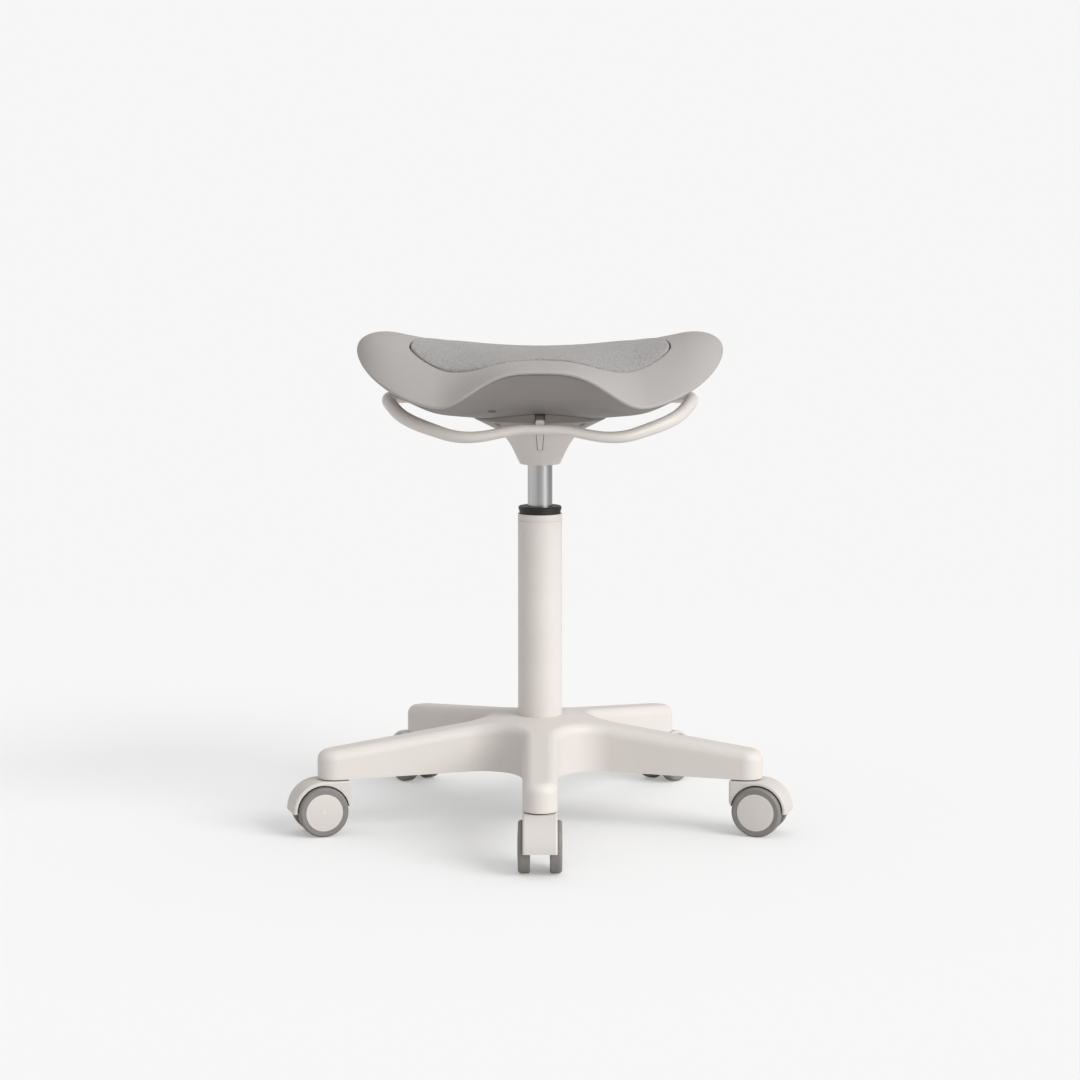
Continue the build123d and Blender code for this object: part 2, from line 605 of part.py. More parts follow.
def crest_z(x):
    """Height along the crest line: a shallow U with rounded wing tips."""
    tip = max(abs(x) - TIP_START, 0) / (SEAT_HALF_WIDTH - TIP_START)
    wing = WING_RISE * (abs(x) / SEAT_HALF_WIDTH) ** WING_POWER
    return SEAT_Z + wing - TIP_DROP * (1 - sqrt(1 - min(tip, 1) ** 2))


def lip_z(x):
    """Height of the front lip: an arch between the thighs, a droop, then up to the wing tip."""
    across = min(abs(x) / ARCH_HALF_WIDTH, 1)
    arch = ARCH_HEIGHT * (1 - cos(pi * across ** ARCH_POWER)) / 2
    out = max(abs(x) - ARCH_HALF_WIDTH, 0) / (SEAT_HALF_WIDTH - ARCH_HALF_WIDTH)
    wing = WING_LIP_RISE * (1 - (1 - min(out, 1) ** WING_LIP_OUT_POWER) ** WING_LIP_UP_POWER)
    return SEAT_Z - LIP_DROP - arch + wing


def rear_z(x):
    return crest_z(x) - REAR_DROP * (1 - (abs(x) / SEAT_HALF_WIDTH) ** 2)


def bend(y, z, crest):
    """Half-way point of the curve that leaves the crest level and ends at (y, z)."""
    return ((y + CREST_Y) / 2, crest - (crest - z) / 4)


def saddle_edges(x, front, crest, rear):
    """Two arcs from the front end over the crest to the rear end, in the plane at x."""
    points = [front, bend(*front, crest), (CREST_Y, crest), bend(*rear, crest), rear]
    a, b, c, d, e = [(x, y, z) for y, z in points]
    return [ThreePointArc(a, b, c), ThreePointArc(c, d, e)]


def lip_ends(x):
    s = share(x)
    return (CREST_Y - SEAT_FRONT_REACH * s, lip_z(x)), (CREST_Y + SEAT_REAR_REACH * s, rear_z(x))


def shell_under(x, drop=0.0):
    """Front end, crest and rear end of the shell's underside."""
    (front_y, front_z), (back_y, back_z) = lip_ends(x)
    s = share(x)
    thick = LIP_THICKNESS + (SHELL_THICKNESS - LIP_THICKNESS) * s
    undercut = LIP_UNDERCUT * s
    return ((front_y + undercut, front_z - LIP_THICKNESS - drop), crest_z(x) - thick - drop,
            (back_y - undercut, back_z - LIP_THICKNESS - drop))


def shell_section(x):
    front, rear = lip_ends(x)
    under_front, under_crest, under_rear = shell_under(x)

    def lip(start, end, way):
        middle = ((start[0] + end[0]) / 2 + way * LIP_BULGE, (start[1] + end[1]) / 2)
        return ThreePointArc(*[(x, y, z) for y, z in (start, middle, end)])
    over = saddle_edges(x, front, crest_z(x), rear)
    under = saddle_edges(x, under_front, under_crest, under_rear)
    return make_face(over + under + [lip(under_front, front, -1), lip(rear, under_rear, 1)])


def band_section(x, low, high):
    """Slice of a layer that follows the seat's top between two offsets from it."""
    front, rear = lip_ends(x)

    def moved(amount):
        ends = [(y, z + amount) for y, z in (front, rear)]
        return saddle_edges(x, ends[0], crest_z(x) + amount, ends[1]), ends
    (lower, low_ends), (upper, high_ends) = moved(low), moved(high)
    sides = [Line((x, *low_ends[i]), (x, *high_ends[i])) for i in (0, 1)]
    return make_face(lower + upper + sides)


def both_sides(stations, half_width):
    """Section places from one wing to the other."""
    right = [s * half_width for s in stations]
    return [-x for x in reversed(right[1:])] + right


def pad_point(angle, grow):
    """Point of the pad's plan outline: round behind, two lobes with a dent between them in front."""
    half = PAD_HALF_WIDTH + grow
    x = half * cos(angle)
    across = min(abs(x) / half, 1)
    if sin(angle) > 0:
        return x, PAD_WIDEST_Y + (PAD_REAR + grow) * (1 - across ** PAD_REAR_POWER) ** (1 / PAD_REAR_POWER)
    dent = PAD_DENT * (1 + cos(pi * min(abs(x) / PAD_DENT_HALF_WIDTH, 1))) / 2
    return x, PAD_WIDEST_Y - (PAD_FRONT + grow) * (1 - across ** PAD_FRONT_POWER) ** PAD_FRONT_BLUNT + dent


def pad_prism(grow):
    """Upright prism over the pad's plan outline, in arcs."""
    points = [pad_point(pi * i / PAD_ARCS, grow) for i in range(2 * PAD_ARCS + 1)]
    arcs = [ThreePointArc(*points[2 * i:2 * i + 3]) for i in range(PAD_ARCS)]
    return extrude(Pos(0, 0, PAN_BOTTOM) * make_face(arcs), FAR / 2)


def seat_band(low, high):
    places = both_sides(PAD_STATIONS, PAD_HALF_WIDTH + 4 * PAD_GROOVE)
    return loft([band_section(x, low, high) for x in places])


def seat_shell():
    body = loft([shell_section(x) for x in both_sides(STATIONS, SEAT_HALF_WIDTH)])
    return body - (seat_band(-PAD_THICKNESS, FAR / 8) & pad_prism(PAD_GROOVE))


def is_pad_rim(edge):
    """Tells an edge round the pad from the seam along its crest."""
    places = [edge.start_point(), edge.position_at(0.5), edge.end_point()]
    return any(abs(p.Y - CREST_Y) > TOUCH for p in places)


def seat_pad():
    body = seat_band(SEAT_FIT - PAD_THICKNESS, PAD_CROWN) & pad_prism(0)
    top = [f for f in body.faces() if f.normal_at(f.center()).Z > 0.5]
    return fillet(ShapeList(top).edges().filter_by(is_pad_rim), PAD_ROUND)


def pan_section(x, inset, raise_floor, above):
    """Slice of the underside bowl: one arc below, the shell's underside above."""
    under_front, under_crest, under_rear = shell_under(x, SEAT_FIT)
    front_y, rear_y = under_front[0] + inset, under_rear[0] - inset

    def top_at(end, y):
        reach = (y - CREST_Y) / (end[0] - CREST_Y)
        return (y, under_crest - (under_crest - end[1]) * reach ** 2)
    front, rear = top_at(under_front, front_y), top_at(under_rear, rear_y)
    floor = PAN_BOTTOM + PAN_RISE * (abs(x) / PAN_HALF_WIDTH) ** PAN_POWER + raise_floor
    feet = [(x, y, z - PAN_EDGE) for y, z in (front, rear)]
    tops = [(y, z + above) for y, z in (front, rear)]
    upper = saddle_edges(x, tops[0], under_crest + above, tops[1])
    sides = [Line(foot, (x, *top)) for foot, top in zip(feet, tops)]
    return make_face([ThreePointArc(feet[0], (x, 0, floor), feet[1])] + upper + sides)


def pan_loft(inset, raise_floor, above, shrink=0.0):
    places = both_sides(PAN_STATIONS, PAN_HALF_WIDTH - shrink)
    return loft([pan_section(x, inset, raise_floor, above) for x in places])


def seat_pan(outer):
    inner = pan_loft(PAN_LIP_INSET + PAN_WALL, PAN_WALL, PAN_WALL, PAN_WALL)
    body = outer - inner
    bolt_tip, screw_tip = PLATE_Z + BOLT_LENGTH, screw_head_z() + BELL_SCREW_LENGTH
    ribs = rod(PAN_BOSS_RADIUS, BELL_Z, POCKET_TOP + PAN_FLOOR)
    for pillar in at_bolts(rod(BOLT_HEAD_RADIUS + PILLAR_WALL, PLATE_Z, bolt_tip + PAN_FLOOR, BOLT_CIRCLE)):
        ribs = ribs + pillar
    for angle in (0, 90):
        wall = block((-FAR, FAR), (-PAN_RIB / 2, PAN_RIB / 2), (BELL_Z, SEAT_Z + FAR))
        ribs = ribs + Rot(0, 0, angle) * wall
    body = body + (ribs & outer)
    body = body - rod(POCKET_RADIUS - BOLT_FIT, BELL_Z, POCKET_TOP)
    notch = ARM_HALF_WIDTH + 2 * ARM_SLOT_GAP
    notch_ends = (-BELL_RIM[0] - ARM_NOTCH_REACH, -POCKET_RADIUS / 2)
    body = body - block((-notch, notch), notch_ends, (BELL_Z, POCKET_TOP - ARM_NOTCH_ROOF))
    body = body - rod(PAN_HOLE_RADIUS, BELL_Z, POCKET_TOP, *PAN_HOLE)
    bolt_hole = rod(BOLT_RADIUS + BOLT_FIT / 2, PLATE_Z, bolt_tip + HOLE_OVER, BOLT_CIRCLE)
    screw_hole = rod(BELL_SCREW_RADIUS + BOLT_FIT / 2, BELL_Z, screw_tip + HOLE_OVER, BELL_SCREW_CIRCLE)
    for hole in at_bolts(bolt_hole) + at_bolts(screw_hole):
        body = body - hole
    return body


# Castors, modelled about their stem with the wheels trailing outward along +X

def axle_along_y(radius, low, high):
    """A cylinder on the wheel axle's line between two distances from the castor's middle."""
    return Pos(CASTER_TRAIL, low, AXLE_Z) * Rot(-90, 0, 0) * Cylinder(radius, high - low, align=BASE_ALIGN)


def caster_stem():
    body = rod(STEM_RADIUS, HOOD_TOP - STEM_HOOD_DEPTH, LEG_BOTTOM + STEM_SOCKET_DEPTH)
    groove_z = LEG_BOTTOM + (STEM_SOCKET_DEPTH - GRIP_RING_HEIGHT) / 2
    groove = tube(STEM_RADIUS, STEM_RADIUS - GRIP_RING_WALL / 2, groove_z, groove_z + GRIP_RING_HEIGHT)
    return body - groove + rod(STEM_COLLAR_RADIUS, HOOD_TOP + SEAT_FIT, LEG_BOTTOM)


def stem_grip_ring():
    low = LEG_BOTTOM + (STEM_SOCKET_DEPTH - GRIP_RING_HEIGHT) / 2
    high, half_wall, half_slit = low + GRIP_RING_HEIGHT, GRIP_RING_WALL / 2, GRIP_RING_SLIT / 2
    ring = tube(STEM_RADIUS + half_wall, STEM_RADIUS - half_wall, low, high)
    return ring - block((0, FAR), (-half_slit, half_slit), (low, high))


def caster_hood():
    """Arch over the wheels, flat top under the leg, upright inner wall and a middle web."""
    well = WHEEL_RADIUS + WHEEL_GAP
    outer = well + HOOD_WALL
    low = AXLE_Z + HOOD_LIP_RISE
    back, nose = -HOOD_REAR_REACH, CASTER_TRAIL + outer
    diagonal = outer / sqrt(2)
    crown, tip = (CASTER_TRAIL, 0, HOOD_TOP), (nose, 0, AXLE_Z)
    arch = ThreePointArc(crown, (CASTER_TRAIL + diagonal, 0, AXLE_Z + diagonal), tip)
    rest = Polyline(tip, (nose, 0, low - 2 * HOOD_LIP_RISE), (back + HOOD_WALL, 0, low),
                    (back, 0, low + 2 * HOOD_WALL), (back, 0, HOOD_TOP), crown)
    body = extrude(make_face([arch, rest]), HOOD_HALF_WIDTH, both=True)
    sides = [e for e in body.edges() if abs(e.center().Y) > HOOD_HALF_WIDTH - TOUCH]
    upper = [e for e in sides if e.center().Z > low + HOOD_LIP_RISE]
    corner = [e for e in body.edges() if abs(e.center().Y) < TOUCH and e.center().X < back + TOUCH]
    body = fillet(upper + corner, HOOD_ROUND)
    for low_y, high_y in ((WEB_HALF_WIDTH, FAR / 4), (-FAR / 4, -WEB_HALF_WIDTH)):
        body = body - axle_along_y(well, low_y, high_y)
    body = body + axle_along_y(AXLE_RADIUS + WEB_AXLE_WALL, -WEB_HALF_WIDTH, WEB_HALF_WIDTH)
    body = body - axle_along_y(AXLE_RADIUS, -WEB_HALF_WIDTH, WEB_HALF_WIDTH)
    return body - rod(STEM_RADIUS + RUN_FIT, HOOD_TOP - STEM_HOOD_DEPTH - HOLE_OVER, HOOD_TOP)


def wheel_axle():
    reach = WHEEL_FACE + WHEEL_DOME - CORE_BORE_FLOOR - SEAT_FIT
    return axle_along_y(AXLE_RADIUS, -reach, reach)


def wheel_turned(edges):
    """Turns a (radius, distance from the middle) outline about the axle's line."""
    solid = revolve(make_face(edges), Axis.Z)
    return Pos(CASTER_TRAIL, 0, AXLE_Z) * Rot(-90, 0, 0) * solid


def dome_at(radius):
    """Distance of the wheel's spherical outer face from the castor's middle."""
    ball = (WHEEL_RADIUS ** 2 + WHEEL_DOME ** 2) / (2 * WHEEL_DOME)
    return WHEEL_FACE + WHEEL_DOME - ball + sqrt(ball ** 2 - radius ** 2)


def wheel_tread():
    inner = WHEEL_RADIUS - TREAD_DEPTH
    inside, face = WHEEL_INNER_FACE, dome_at(WHEEL_RADIUS)
    r = TREAD_ROUND
    mid = r * (1 - sqrt(0.5))
    points = [(inner, 0, inside), (WHEEL_RADIUS - r / 2, 0, inside), (WHEEL_RADIUS, 0, inside + r / 2),
              (WHEEL_RADIUS, 0, face - r)]
    end = (WHEEL_RADIUS - r, 0, face + r / 3)
    shoulder = ThreePointArc(points[-1], (WHEEL_RADIUS - mid, 0, face - mid), end)
    side = Polyline(end, (inner, 0, dome_at(inner)), points[0])
    return wheel_turned([Polyline(*points), shoulder, side])


def wheel_core():
    outer = WHEEL_RADIUS - TREAD_DEPTH - SEAT_FIT
    rim = (outer, 0, dome_at(outer))
    dome = ThreePointArc(rim, (outer / 2, 0, dome_at(outer / 2)), (0, 0, dome_at(0)))
    floor = dome_at(0) - CORE_BORE_FLOOR
    bore = AXLE_RADIUS + RUN_FIT
    rest = Polyline((0, 0, dome_at(0)), (0, 0, floor), (bore, 0, floor), (bore, 0, WHEEL_INNER_FACE),
                    (outer, 0, WHEEL_INNER_FACE), rim)
    return wheel_turned([dome, rest])


def main():
    os.makedirs("parts", exist_ok=True)
    save("star_base", star_base())
    save("column_tube", column_tube())
    save("guide_bush", guide_bush())
    save("gas_cylinder", gas_cylinder())
    save("piston_rod", piston_rod())
    save("piston_head", piston_head())
    save("bump_stop", bump_stop())
    save("thrust_washer", washer(COLLAR_Z - WASHER_HEIGHT))
    save("thrust_bearing", *thrust_bearing())
    save("rod_clip", rod_clip())
    save("release_button", release_button())
    save("taper_socket", taper_socket())
    save("mount_plate", mount_plate())
    save("plate_bolts", *at_bolts(plate_bolt()))
    save("lever_pin", pin_along_x(PIN_RADIUS, EAR_OUTER))
    save("release_ring", release_ring())
    save("release_arm", release_arm())
    pan_outer = pan_loft(PAN_LIP_INSET, 0, 0)
    save("seat_shell", seat_shell())
    save("seat_pad", seat_pad())
    save("seat_pan", seat_pan(pan_outer))
    save("bell_housing", bell_housing(pan_outer))
    save("bell_screws", *at_bolts(bell_screw()))
    save("caster_stems", *[at_leg(caster_stem(), angle) for angle in LEG_ANGLES])
    save("stem_grip_rings", *[at_leg(stem_grip_ring(), angle) for angle in LEG_ANGLES])
    for name, angle in zip(LEG_NAMES, LEG_ANGLES):
        save(f"hood_{name}", at_leg(caster_hood(), angle))
        save(f"axle_{name}", at_leg(wheel_axle(), angle))
        for side, flip in (("a", 1), ("b", -1)):
            for piece, shape in (("tread", wheel_tread()), ("wheel", wheel_core())):
                shape = shape if flip == 1 else mirror(shape, Plane.XZ)
                save(f"{piece}_{name}_{side}", at_leg(shape, angle))


main()
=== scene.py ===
import json
from math import atan2, cos, pi, radians, sin, sqrt

import bpy
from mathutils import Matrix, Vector


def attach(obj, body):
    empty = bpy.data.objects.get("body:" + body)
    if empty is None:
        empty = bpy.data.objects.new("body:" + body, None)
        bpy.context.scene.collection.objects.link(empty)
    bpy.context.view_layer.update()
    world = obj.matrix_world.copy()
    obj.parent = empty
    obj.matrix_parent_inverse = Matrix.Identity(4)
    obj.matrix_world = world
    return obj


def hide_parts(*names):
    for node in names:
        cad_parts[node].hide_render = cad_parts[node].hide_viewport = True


# Saddle stool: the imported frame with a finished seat, knit pad and materials. Metres, front towards -Y.

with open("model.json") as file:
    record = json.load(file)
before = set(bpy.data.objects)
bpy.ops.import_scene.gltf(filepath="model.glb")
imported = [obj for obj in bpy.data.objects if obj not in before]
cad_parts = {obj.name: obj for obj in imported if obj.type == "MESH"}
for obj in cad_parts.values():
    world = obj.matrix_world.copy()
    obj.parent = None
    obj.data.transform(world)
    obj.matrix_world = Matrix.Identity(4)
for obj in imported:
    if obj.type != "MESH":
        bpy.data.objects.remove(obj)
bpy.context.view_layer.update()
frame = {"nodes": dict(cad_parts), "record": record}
NODES = frame["nodes"]

# Seat sizes, the same as the CAD model's
SEAT_HALF_WIDTH = 0.2074
SEAT_FRONT_REACH = 0.185
SEAT_REAR_REACH = 0.115
CREST_Y = 0.030
OUTLINE_POWER = 2.4
SEAT_Z = 0.5362
WING_RISE = 0.0286
WING_POWER = 2.0
TIP_DROP = 0.0282
TIP_START = 0.160
LIP_DROP = 0.0136
ARCH_HEIGHT = 0.04075
ARCH_HALF_WIDTH = 0.1129
ARCH_POWER = 1.52
WING_LIP_RISE = WING_RISE - TIP_DROP + LIP_DROP + ARCH_HEIGHT
WING_LIP_OUT_POWER = 1.51
WING_LIP_UP_POWER = 0.653
REAR_DROP = 0.012
SHELL_THICKNESS = 0.016
LIP_THICKNESS = 0.0045
LIP_RADIUS = LIP_THICKNESS / 2
PAD_HALF_WIDTH = 0.1445
PAD_WIDEST_Y = -0.024
PAD_FRONT = 0.094
PAD_REAR = 0.102
PAD_FRONT_POWER = 1.62
PAD_FRONT_BLUNT = 0.612
PAD_REAR_POWER = 2.1
PAD_DENT = 0.027
PAD_DENT_HALF_WIDTH = 0.070
PAD_ROUND = 0.0030

# Pad and recess as they look: a slimmer pad that swells, in a wider groove than the CAD model's
PAD_THICKNESS = 0.0077
PAD_CROWN = 0.0020
PAD_GROOVE = 0.0015
PAD_BACK_ROUND = 0.001
PAD_BACK_INSET = 0.2 * PAD_HALF_WIDTH
RECESS_GAP = 0.0004
RECESS_ROUND = 0.0011
PAD_SWELL_CAP = 0.0012
SWELL_PRESSURE = 4.0
SWELL_FRAMES = 20

# Fineness of the seat's meshes, with rings as shares of the way out from the pad's centre
AROUND = 480
ANGLES = [2 * pi * i / AROUND for i in range(AROUND)]
RECESS_FLOOR_RINGS = (0.25, 0.6, 0.9)
RECESS_ROUND_STEPS = 3
SADDLE_STEPS = 56
LIP_STEPS = 8
UNDERSIDE_RINGS = (0.97, 0.9, 0.75, 0.5, 0.2)
PAD_CELLS = 64
PAD_EDGE_STEPS = 5
PAD_FREE_ROWS = 3
HALVINGS = 40
TINY = 1e-6

# Knit: spacing of the columns and rows of loops, how the loops lean, wander and rise, how much painted shade
# darkens the low parts of each loop, and the yarn's speckle
KNIT_PITCH = 0.0024
COURSE_PITCH = 0.8 * KNIT_PITCH
LOOP_SLANT = 1.3
LOOP_WOBBLE = 0.18
LOOP_LEAST_HEIGHT = 0.3
LOOP_PAINTED_SHADE = 0.4
SPECKLE_TONE = 0.6

# Height above which the bell is painted grey as shade under the seat, behind the ring
FLANGE_SHADE_Z = 0.4495

# Part of a noise's values that is spread over a range
NOISE_MIDDLE = (0.3, 0.7)

# Studio: light levels, and the brightness of the panels by bearing from the front, to the right
ROOM_LEVEL = 0.72
ROOM_TILT = 0.08
BACKDROP_LEVEL = 0.93
BACKDROP_WARMTH = 0.995
FLOOR_HALF_SIZE = 1.6
FLOOR_FADE = (0.6, 1.4)
FLOOR_ALBEDO = 0.87
FLOOR_BOUNCE = 0.74
FLOOR_FILL = 0.28
KEY_BEARING = 54.0
KEY_ELEVATION = 30.0
KEY_ENERGY = 2.3
KEY_SPREAD = 40.0
PANELS = ((-180, 0.6), (-110, 0.72), (-60, 0.7), (-28, 0.48), (8, 0.48), (32, 0.62), (40, 1.15), (56, 1.15),
          (78, 0.5), (112, 0.38), (180, 0.6))

# Camera, lens and sensor in millimetres, tilt in radians below the horizon
CAMERA_PLACE = (0.0, -3.0464, 0.7007)
CAMERA_TILT = 0.124
CAMERA_LENS = 90.16
CAMERA_SENSOR = 36.0


# Node trees

def srgb(r, g, b):
    """Linear colour from 0 to 255 display values."""
    def linear(v):
        v /= 255
        return v / 12.92 if v <= 0.04045 else ((v + 0.055) / 1.055) ** 2.4
    return (linear(r), linear(g), linear(b), 1.0)


def grey(level):
    return (level, level, level, 1.0)


def shade(colour, amount):
    return tuple(c * amount for c in colour[:3]) + (1.0,)


class Nodes:
    """The node tree of a material or world, with short calls for the nodes used here."""

    def __init__(self, owner, coordinates):
        owner.use_nodes = True
        self.tree = owner.node_tree
        self.place = self.add("ShaderNodeTexCoord").outputs[coordinates]

    def add(self, kind, **settings):
        node = self.tree.nodes.new(kind)
        for key, value in settings.items():
            setattr(node, key, value)
        return node

    def link(self, source, socket):
        self.tree.links.new(source, socket)

    def axes(self):
        """The X, Y and Z of the place, by name."""
        node = self.add("ShaderNodeSeparateXYZ")
        self.link(self.place, node.inputs["Vector"])
        return node.outputs

    def math(self, operation, a, b=None):
        node = self.add("ShaderNodeMath", operation=operation)
        for socket, value in zip(node.inputs, (a, b)):
            if isinstance(value, (int, float)):
                socket.default_value = value
            elif value is not None:
                self.link(value, socket)
        return node.outputs[0]

    def map_range(self, value, old, new, **settings):
        node = self.add("ShaderNodeMapRange", **settings)
        for name, limit in zip(("From Min", "From Max", "To Min", "To Max"), (*old, *new)):
            node.inputs[name].default_value = limit
        self.link(value, node.inputs["Value"])
        return node.outputs["Result"]

    def mix(self, fac, no, yes):
        """One shader or the other."""
        node = self.add("ShaderNodeMixShader")
        for source, socket in zip((fac, no, yes), node.inputs):
            self.link(source, socket)
        return node.outputs[0]


class Surface(Nodes):
    """A material's tree around its own shader."""

    def __init__(self, name):
        self.material = bpy.data.materials.new(name)
        super().__init__(self.material, "Object")
        self.shader = self.tree.nodes["Principled BSDF"]

    def set(self, name, value):
        self.shader.inputs[name].default_value = value

    def noise(self, scale, detail=2.0, stretch=None):
        node = self.add("ShaderNodeTexNoise")
        node.inputs["Scale"].default_value = scale
        node.inputs["Detail"].default_value = detail
        place = self.place
        if stretch:
            mapping = self.add("ShaderNodeMapping")
            mapping.inputs["Scale"].default_value = stretch
            self.link(self.place, mapping.inputs["Vector"])
            place = mapping.outputs["Vector"]
        self.link(place, node.inputs["Vector"])
        return node.outputs["Fac"]

    def spread(self, fac, low=0.0, high=1.0):
        """Maps the middle of a noise onto a range."""
        return self.map_range(fac, NOISE_MIDDLE, (low, high))

    def colours(self, fac, dark, light):
        """Base colour between two colours."""
        node = self.add("ShaderNodeMix", data_type="RGBA")
        sockets = [s for s in node.inputs if s.type == "RGBA"]
        sockets[0].default_value, sockets[1].default_value = dark, light
        self.link(fac, node.inputs["Factor"])
        self.link([s for s in node.outputs if s.type == "RGBA"][0], self.shader.inputs["Base Color"])

    def tint(self, fac, colour, dark, light):
        """Base colour between two shades of one colour."""
        self.colours(fac, shade(colour, dark), shade(colour, light))

    def gloss(self, noise, rough, less, more):
        """Roughness that wanders about a level."""
        self.link(self.spread(noise, rough - less, rough + more), self.shader.inputs["Roughness"])

    def bump(self, height, strength, distance, before=None):
        node = self.add("ShaderNodeBump")
        node.inputs["Strength"].default_value = strength
        node.inputs["Distance"].default_value = distance
        self.link(height, node.inputs["Height"])
        if before:
            self.link(before, node.inputs["Normal"])
        return node.outputs["Normal"]

    def relief(self, normal):
        self.link(normal, self.shader.inputs["Normal"])


# Materials

def eroded(n, rough, grain=1100.0, depth=0.00012):
    """Spark-eroded grain and an uneven satin gloss, as moulded plastic has."""
    n.gloss(n.noise(scale=70.0, detail=4.0), rough, less=0.05, more=0.06)
    n.relief(n.bump(n.noise(scale=grain), strength=0.35, distance=depth))


def moulded(name, colour, rough, tint=0.035, **texture):
    """Moulded plastic with faint flow marks."""
    n = Surface(name)
    n.tint(n.spread(n.noise(scale=9.0, detail=3.0)), colour, dark=1 - tint, light=1 + tint)
    n.set("IOR", 1.46)
    eroded(n, rough, **texture)
    return n.material


def shade_painted_above(name, lower, upper, split_z, rough):
    """Moulded plastic in one colour below a height and another above it; the upper colour is painted shade.
    """
    n = Surface(name)
    n.colours(n.math("GREATER_THAN", n.axes()["Z"], split_z), lower, upper)
    eroded(n, rough)
    return n.material


def coated(name, colour, rough):
    """Powder coat: a soft orange-peel surface over fine speckle."""
    n = Surface(name)
    n.tint(n.spread(n.noise(scale=14.0, detail=3.0)), colour, dark=0.975, light=1.02)
    n.gloss(n.noise(scale=120.0, detail=3.0), rough, less=0.05, more=0.05)
    peel = n.bump(n.noise(scale=420.0, detail=1.0), strength=0.25, distance=0.0002)
    n.relief(n.bump(n.noise(scale=1800.0), strength=0.2, distance=0.00006, before=peel))
    return n.material


def brushed(name, colour, rough, stretch):
    """Ground or drawn steel: fine marks along one direction."""
    n = Surface(name)
    marks = n.noise(scale=260.0, detail=4.0, stretch=stretch)
    n.tint(n.spread(marks), colour, dark=0.9, light=1.06)
    n.gloss(marks, rough, less=0.05, more=0.08)
    n.relief(n.bump(marks, strength=0.15, distance=0.00004))
    n.set("Metallic", 1.0)
    return n.material


def rubbery(name, colour, rough):
    """Grey polyurethane or rubber: dull, with dust-fine speckle and scuffs."""
    n = Surface(name)
    n.tint(n.spread(n.noise(scale=90.0, detail=5.0)), colour, dark=0.93, light=1.06)
    n.gloss(n.noise(scale=240.0, detail=3.0), rough, less=0.06, more=0.06)
    n.relief(n.bump(n.noise(scale=1300.0), strength=0.3, distance=0.0001))
    return n.material


def knitted(name, colour):
    """Fine knit: columns of slanted loops with a bump each, painted shade in the hollows between loops,
    speckled yarn and a soft sheen.
    """
    n = Surface(name)
    place = n.axes()
    wobble = n.spread(n.noise(scale=160.0), -LOOP_WOBBLE, LOOP_WOBBLE)
    wale = n.math("ADD", n.math("DIVIDE", place["X"], KNIT_PITCH), wobble)
    course = n.math("DIVIDE", place["Y"], COURSE_PITCH)
    across = n.math("ABSOLUTE", n.math("SUBTRACT", n.math("FRACT", wale), 0.5))
    slant = n.math("ADD", course, n.math("MULTIPLY", across, LOOP_SLANT))
    wave = n.math("COSINE", n.math("MULTIPLY", slant, 2 * pi))
    loop = n.math("ADD", n.math("MULTIPLY", wave, 0.5), 0.5)
    column = n.math("SINE", n.math("MULTIPLY", across, 2 * pi))
    rise = n.math("ADD", n.math("MULTIPLY", column, 1 - LOOP_LEAST_HEIGHT), LOOP_LEAST_HEIGHT)
    height = n.math("MULTIPLY", loop, rise)
    speckle = n.spread(n.noise(scale=480.0), high=SPECKLE_TONE)
    # Base colour: painted shade that darkens each loop where it is low, added to the yarn's random speckle
    n.tint(n.math("ADD", n.math("MULTIPLY", height, LOOP_PAINTED_SHADE), speckle), colour, dark=0.62, light=1.34)
    n.gloss(n.noise(scale=400.0), rough=0.88, less=0.06, more=0.07)
    fuzz = n.bump(n.noise(scale=2200.0), strength=0.3, distance=0.00015)
    lumps = n.bump(speckle, strength=0.5, distance=0.0006, before=fuzz)
    n.relief(n.bump(height, strength=0.6, distance=0.0006, before=lumps))
    n.set("Sheen Weight", 0.25)
    n.set("Sheen Roughness", 0.5)
    n.set("Specular IOR Level", 0.25)
    return n.material


WARM_WHITE = srgb(211, 205, 200)
CASTOR_WHITE = srgb(202, 197, 192)
UNDERSIDE_AND_FLANGE_SHADE_GREY = srgb(143, 138, 135)
MATERIALS = {
    "soft_shell": moulded("soft_shell", srgb(166, 162, 160), 0.62, tint=0.018, grain=1500.0, depth=0.0001),
    "knit_pad": knitted("knit_pad", srgb(156, 153, 152)),
    "underside": moulded("underside", UNDERSIDE_AND_FLANGE_SHADE_GREY, 0.6, grain=1000.0),
    "warm_white": moulded("warm_white", WARM_WHITE, 0.5, tint=0.015),
    "painted_white": coated("painted_white", WARM_WHITE, 0.42),
    "lift_steel": brushed("lift_steel", srgb(204, 203, 203), 0.2, stretch=(1.0, 1.0, 0.03)),
    "bush_black": moulded("bush_black", srgb(30, 30, 27), 0.45, grain=900.0),
    "tread": rubbery("tread", srgb(124, 121, 118), 0.6),
    "steel": brushed("steel", srgb(182, 182, 180), 0.38, stretch=(1.0, 1.0, 1.0)),
    "dark_rubber": rubbery("dark_rubber", srgb(48, 47, 46), 0.7),
}
CASTOR_MATERIAL = moulded("castor_white", CASTOR_WHITE, 0.5, tint=0.015)
# The bell is white below a height and painted grey above it, as painted shade where its flange lies under the
# seat
BELL_PAINTED_SHADE_MATERIAL = shade_painted_above("bell_white_painted_shade", WARM_WHITE, UNDERSIDE_AND_FLANGE_SHADE_GREY, FLANGE_SHADE_Z, 0.5)
for part in frame["record"]["subparts"]:
    node = part["node"]
    look = MATERIALS[part["material_slot"]]
    if node.startswith(("hood_", "wheel_")):
        look = CASTOR_MATERIAL
    # The bell gets the material with painted shade on its flange
    if node == "bell_housing":
        look = BELL_PAINTED_SHADE_MATERIAL
    slots = NODES[node].data.materials
    slots.clear()
    slots.append(look)


# Seat surface

